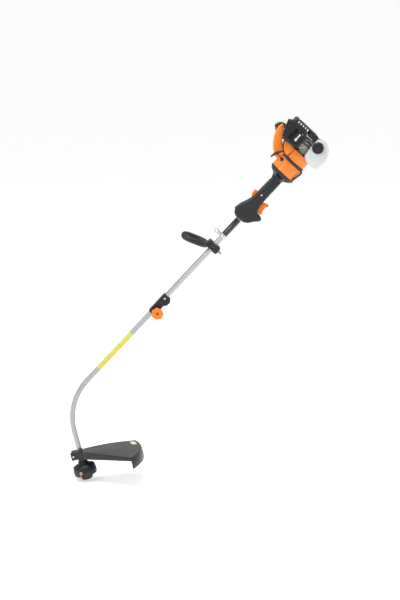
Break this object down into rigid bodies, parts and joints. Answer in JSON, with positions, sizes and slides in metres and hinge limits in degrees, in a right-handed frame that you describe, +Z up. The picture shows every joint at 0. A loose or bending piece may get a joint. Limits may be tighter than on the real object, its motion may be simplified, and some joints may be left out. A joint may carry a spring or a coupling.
{
  "type": "string trimmer",
  "caption": "Petrol string trimmer: curved split shaft with tap-feed line head and guard, front loop handle, rear handle with trigger, and a small two-cycle engine.",
  "frame": {"origin": "centre of the harness eyelet above the shaft, where the tool hangs from its strap", "axes": "+Z up as the tool stands on its head, +X towards the engine, +Y to the operator's right"},
  "size_m": [1.0586, 0.2483, 1.5167],
  "materials": {
    "painted_tube": "satin grey paint over steel",
    "bright_tube": "bright drawn tube",
    "steel": "machined and zinc plated",
    "cast_metal": "die cast, matt",
    "black_plastic": "moulded, fine spark texture",
    "grip": "moulded grip, textured",
    "rubber": "smooth black rubber",
    "orange_plastic": "moulded, light gloss",
    "line": "clear-orange nylon",
    "rope": "braided cord",
    "foam": "oiled foam",
    "bright_lever": "bright metal",
    "tank": "translucent white polyethylene"
  },
  "bodies": {
    "frame": {"lower_tube": "painted_tube", "upper_tube": "bright_tube", "drive_cable": "steel", "harness_bracket": "steel", "handle_screw": "steel", "guard_bolt": "steel", "line_cutter_blade": "steel", "spark_plug": "steel", "muffler": "steel", "crankcase": "cast_metal", "cylinder": "cast_metal", "carburettor": "cast_metal", "coupler_body": "black_plastic", "bearing_housing": "black_plastic", "guard": "black_plastic", "guard_clamp": "black_plastic", "clutch_housing": "black_plastic", "ignition_coil": "black_plastic", "air_cleaner_cover": "black_plastic", "muffler_guard": "black_plastic", "rear_cover": "black_plastic", "handle_shell_left": "grip", "handle_shell_right": "grip", "rubber_sleeve": "rubber", "plug_boot": "rubber", "ignition_lead": "rubber", "throttle_cable": "rubber", "starter_housing": "orange_plastic", "fan_housing": "orange_plastic", "air_filter": "foam", "fuel_tank": "tank"},
    "cutting_head": {"output_spindle": "steel", "head_housing": "black_plastic", "tap_spring": "steel", "cutting_line_left": "line", "cutting_line_right": "line"},
    "line_spool": {"spool": "black_plastic", "wound_line": "line", "tap_knob": "black_plastic"},
    "drive_line": {"drive_shaft": "steel", "clutch_drum": "steel"},
    "crank": {"crankshaft": "steel", "flywheel": "cast_metal"},
    "upper_shoe": {"clutch_shoe_upper": "steel"},
    "lower_shoe": {"clutch_shoe_lower": "steel"},
    "pulley": {"starter_pulley": "black_plastic"},
    "pull_handle": {"starter_handle": "black_plastic", "starter_rope": "rope"},
    "piston_and_rod": {"piston": "steel", "connecting_rod": "steel"},
    "trigger": {"throttle_trigger": "orange_plastic"},
    "lock_out": {"lock_out_lever": "orange_plastic"},
    "switch": {"stop_switch": "black_plastic"},
    "button": {"release_button": "steel"},
    "coupler_knob": {"star_knob": "orange_plastic"},
    "front_handle": {"loop_handle": "grip", "loop_clamp_cap": "black_plastic", "loop_bolt": "steel"},
    "choke": {"choke_lever": "bright_lever"},
    "cap": {"tank_cap": "black_plastic"}
  },
  "joints": [
    {"name": "drive_spin", "type": "hinge", "parent": "frame", "child": "drive_line", "pos_m": [0.02519, 0, -0.02328], "axis": [0.6788, 0, 0.7343], "continuous": true},
    {"name": "head_spin", "type": "hinge", "parent": "frame", "child": "cutting_head", "pos_m": [-0.59154, 0, -0.84079], "axis": [0.2462, 0, -0.9692], "continuous": true},
    {"name": "tap_press", "type": "slide", "parent": "cutting_head", "child": "line_spool", "axis": [-0.2462, 0, 0.9692], "range_m": [0, 0.006], "stiffness_N_per_m": 600, "springref_m": -0.008, "deforming": ["tap_spring"]},
    {"name": "crank_spin", "type": "hinge", "parent": "frame", "child": "crank", "pos_m": [0.02519, 0, -0.02328], "axis": [0.6788, 0, 0.7343], "continuous": true},
    {"name": "upper_shoe_out", "type": "slide", "parent": "crank", "child": "upper_shoe", "axis": [-0.7343, 0, 0.6788], "range_m": [0, 0.0025], "stiffness_N_per_m": 3000, "springref_m": -0.003},
    {"name": "lower_shoe_out", "type": "slide", "parent": "crank", "child": "lower_shoe", "axis": [0.7343, 0, -0.6788], "range_m": [0, 0.0025], "stiffness_N_per_m": 3000, "springref_m": -0.003},
    {"name": "starter_pull", "type": "slide", "parent": "frame", "child": "pull_handle", "axis": [-0.5093, -0.5577, 0.6554], "range_m": [0, 0.55], "stiffness_N_per_m": 12, "springref_m": -0.3},
    {"name": "pulley_spin", "type": "hinge", "parent": "frame", "child": "pulley", "pos_m": [0.02519, 0, -0.02328], "axis": [0.6788, 0, 0.7343], "range_deg": [-5, 1450]},
    {"name": "piston_stroke", "type": "slide", "parent": "frame", "child": "piston_and_rod", "axis": [-0.7343, 0, 0.6788], "range_m": [-0.014, 0.014]},
    {"name": "trigger_pull", "type": "hinge", "parent": "frame", "child": "trigger", "pos_m": [0.15798, 0, 0.09091], "axis": [0, -1, 0], "range_deg": [0, 12], "stiffness_Nm_per_rad": 0.6, "springref_deg": -14.32},
    {"name": "lock_out_press", "type": "hinge", "parent": "frame", "child": "lock_out", "pos_m": [0.16606, 0, 0.15563], "axis": [0, -1, 0], "range_deg": [0, 8], "stiffness_Nm_per_rad": 0.4, "springref_deg": -14.32},
    {"name": "switch_slide", "type": "slide", "parent": "frame", "child": "switch", "axis": [0.6788, 0, 0.7343], "range_m": [0, 0.008]},
    {"name": "button_press", "type": "slide", "parent": "frame", "child": "button", "axis": [0.7343, 0, -0.6788], "range_m": [0, 0.003], "stiffness_N_per_m": 1500, "springref_m": -0.003},
    {"name": "coupler_knob_turn", "type": "hinge", "parent": "frame", "child": "coupler_knob", "pos_m": [-0.24157, 0, -0.33912], "axis": [0, -1, 0], "range_deg": [0, 1080]},
    {"name": "front_handle_slide", "type": "slide", "parent": "frame", "child": "front_handle", "axis": [0.6788, 0, 0.7343], "range_m": [-0.12, 0.025]},
    {"name": "choke_turn", "type": "hinge", "parent": "frame", "child": "choke", "pos_m": [0.31352, -0.09, 0.38292], "axis": [0, -1, 0], "range_deg": [0, 35]},
    {"name": "cap_turn", "type": "hinge", "parent": "frame", "child": "cap", "pos_m": [0.40342, -0.062, 0.34611], "axis": [0, -1, 0], "range_deg": [0, 720]}
  ],
  "couplings": [
    {"joint": "head_spin", "follows": "drive_spin", "ratio": 1},
    {"joint": "pulley_spin", "follows": "starter_pull", "rad_per_m": 42.553},
    {"joint": "lower_shoe_out", "follows": "upper_shoe_out", "ratio": 1}
  ]
}
